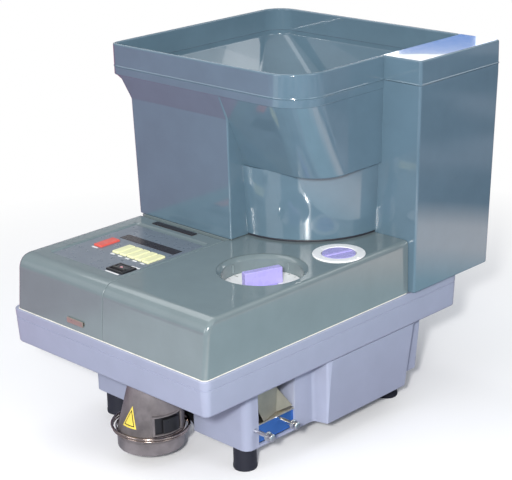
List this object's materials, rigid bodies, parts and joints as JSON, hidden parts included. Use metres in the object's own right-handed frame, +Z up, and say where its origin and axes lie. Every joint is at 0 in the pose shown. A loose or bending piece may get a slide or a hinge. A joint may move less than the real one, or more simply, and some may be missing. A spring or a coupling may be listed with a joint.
{
  "type": "coin sorting machine",
  "caption": "Desktop coin counter and sorter: open hopper over a spinning disc, dials for coin thickness and diameter, key panel on a hinged cover, front bag spout, side reject outlet.",
  "frame": {"origin": "on the table, under the middle of the machine's whole outline", "axes": "+X to the operator's right, +Y towards the rear, +Z up"},
  "size_m": [0.316, 0.422, 0.3733],
  "materials": {
    "tray_plastic": "satin lavender grey moulding",
    "deck_plastic": "gloss dark grey green moulding",
    "hopper_plastic": "gloss blue grey moulding",
    "sheet_steel": "bent sheet",
    "plated_steel": "bright plated",
    "cast_metal": "turned",
    "rubber_black": "matt",
    "black_plastic": "fine grain",
    "white_plastic": "gloss",
    "lavender_plastic": "gloss lavender",
    "key_yellow": "satin",
    "key_red": "satin",
    "panel_film": "satin film",
    "window_dark": "dark tinted",
    "board_green": "solder mask",
    "spout_plastic": "grained brown grey",
    "copper_wire": "bright copper tone",
    "chute_metal": "warm grey sheet",
    "belt_rubber": "matt",
    "machine_grey": "satin paint",
    "latch_metal": "aged"
  },
  "bodies": {
    "root": {"base_tray": "tray_plastic", "pedestal": "tray_plastic", "bottom_plate": "sheet_steel", "feet": "rubber_black", "foot_screws": "plated_steel", "tray_screws": "plated_steel", "rear_cover": "tray_plastic", "deck_cover": "deck_plastic", "hinge_brackets": "sheet_steel", "hinge_pins": "plated_steel", "hopper_body": "hopper_plastic", "hopper_rim": "hopper_plastic", "hopper_screws": "plated_steel", "chassis_plate": "sheet_steel", "chassis_posts": "cast_metal", "well_ring": "cast_metal", "disc_bearing": "cast_metal", "drive_belt": "rubber_black", "drive_motor": "machine_grey", "motor_bracket": "plated_steel", "coin_track": "sheet_steel", "feed_frame": "sheet_steel", "feed_belt": "belt_rubber", "coin_sensor": "black_plastic", "drop_tube": "black_plastic", "thickness_scale": "white_plastic", "diameter_bezel": "white_plastic", "main_board": "board_green", "power_supply": "machine_grey", "power_inlet": "black_plastic", "wiring_loom": "rubber_black", "spout": "spout_plastic", "reject_chute": "chute_metal", "reject_plate": "plated_steel", "reject_studs": "plated_steel"},
    "cover": {"control_cover": "deck_plastic", "control_panel": "panel_film", "display_window": "window_dark", "display_board": "board_green", "rocker_frame": "black_plastic"},
    "latch": {"cover_latch": "latch_metal"},
    "pale_key_1": {"key_1": "key_yellow"},
    "pale_key_2": {"key_2": "key_yellow"},
    "pale_key_3": {"key_3": "key_yellow"},
    "pale_key_4": {"key_4": "key_yellow"},
    "pale_key_5": {"key_5": "key_yellow"},
    "red_key_body": {"red_key": "key_red"},
    "rocker": {"rocker_paddle": "black_plastic"},
    "disc": {"feed_disc": "cast_metal", "disc_shaft": "plated_steel", "disc_pulley": "black_plastic"},
    "motor_shaft": {"motor_pulley": "cast_metal"},
    "feed_front": {"feed_pulley_front": "black_plastic"},
    "feed_rear": {"feed_pulley_rear": "black_plastic"},
    "thickness_dial": {"thickness_knob": "lavender_plastic"},
    "gate": {"thickness_gate": "latch_metal"},
    "diameter_dial": {"diameter_knob": "lavender_plastic"},
    "rail": {"width_rail": "latch_metal"},
    "ring": {"bag_ring": "copper_wire"},
    "button": {"spout_button": "black_plastic"}
  },
  "joints": [
    {"name": "cover_hinge", "type": "hinge", "parent": "root", "child": "cover", "pos_m": [-0.065, -0.0425, 0.181], "axis": [-1, 0, 0], "range_deg": [0, 60]},
    {"name": "latch_slide", "type": "slide", "parent": "cover", "child": "latch", "axis": [1, 0, 0], "range_m": [0, 0.006]},
    {"name": "key_1_press", "type": "slide", "parent": "cover", "child": "pale_key_1", "axis": [0, 0, -1], "range_m": [0, 0.0012]},
    {"name": "key_2_press", "type": "slide", "parent": "cover", "child": "pale_key_2", "axis": [0, 0, -1], "range_m": [0, 0.0012]},
    {"name": "key_3_press", "type": "slide", "parent": "cover", "child": "pale_key_3", "axis": [0, 0, -1], "range_m": [0, 0.0012]},
    {"name": "key_4_press", "type": "slide", "parent": "cover", "child": "pale_key_4", "axis": [0, 0, -1], "range_m": [0, 0.0012]},
    {"name": "key_5_press", "type": "slide", "parent": "cover", "child": "pale_key_5", "axis": [0, 0, -1], "range_m": [0, 0.0012]},
    {"name": "red_key_press", "type": "slide", "parent": "cover", "child": "red_key_body", "axis": [0, 0, -1], "range_m": [0, 0.0012]},
    {"name": "rocker_turn", "type": "hinge", "parent": "cover", "child": "rocker", "pos_m": [-0.0195, -0.1625, 0.18], "axis": [1, 0, 0], "range_deg": [0, 16]},
    {"name": "disc_spin", "type": "hinge", "parent": "root", "child": "disc", "pos_m": [0.01, 0.079, 0.147], "axis": [0, 0, 1], "continuous": true},
    {"name": "motor_spin", "type": "hinge", "parent": "root", "child": "motor_shaft", "pos_m": [0.076, 0.034, 0.12], "axis": [0, 0, 1], "continuous": true},
    {"name": "feed_front_spin", "type": "hinge", "parent": "root", "child": "feed_front", "pos_m": [0.02387, -0.14339, 0.1583], "axis": [0.9851, -0.1718, 0], "continuous": true},
    {"name": "feed_rear_spin", "type": "hinge", "parent": "root", "child": "feed_rear", "pos_m": [0.04242, -0.03699, 0.1583], "axis": [0.9851, -0.1718, 0], "continuous": true},
    {"name": "thickness_turn", "type": "hinge", "parent": "root", "child": "thickness_dial", "pos_m": [0.088, -0.0754, 0.175], "axis": [0, 0, 1], "range_deg": [-150, 120]},
    {"name": "gate_lift", "type": "slide", "parent": "root", "child": "gate", "axis": [0, 0, 1], "range_m": [-0.0015, 0.0015]},
    {"name": "diameter_turn", "type": "hinge", "parent": "root", "child": "diameter_dial", "pos_m": [0.1155, 0.0055, 0.185], "axis": [0, 0, 1], "range_deg": [-25, 240]},
    {"name": "rail_shift", "type": "slide", "parent": "root", "child": "rail", "axis": [-0.9851, 0.1718, 0], "range_m": [-0.0008, 0.007]},
    {"name": "ring_slide", "type": "slide", "parent": "root", "child": "ring", "axis": [0, 0, 1], "range_m": [-0.014, 0]},
    {"name": "spout_button_press", "type": "slide", "parent": "root", "child": "button", "axis": [-0.9903, 0.1392, 0], "range_m": [0, 0.0025]}
  ],
  "couplings": [
    {"joint": "motor_spin", "follows": "disc_spin", "ratio": 2.8},
    {"joint": "feed_front_spin", "follows": "disc_spin", "ratio": 6},
    {"joint": "feed_rear_spin", "follows": "disc_spin", "ratio": 6},
    {"joint": "gate_lift", "follows": "thickness_turn", "m_per_rad": 0.00053476},
    {"joint": "rail_shift", "follows": "diameter_turn", "m_per_rad": 0.0015279}
  ]
}
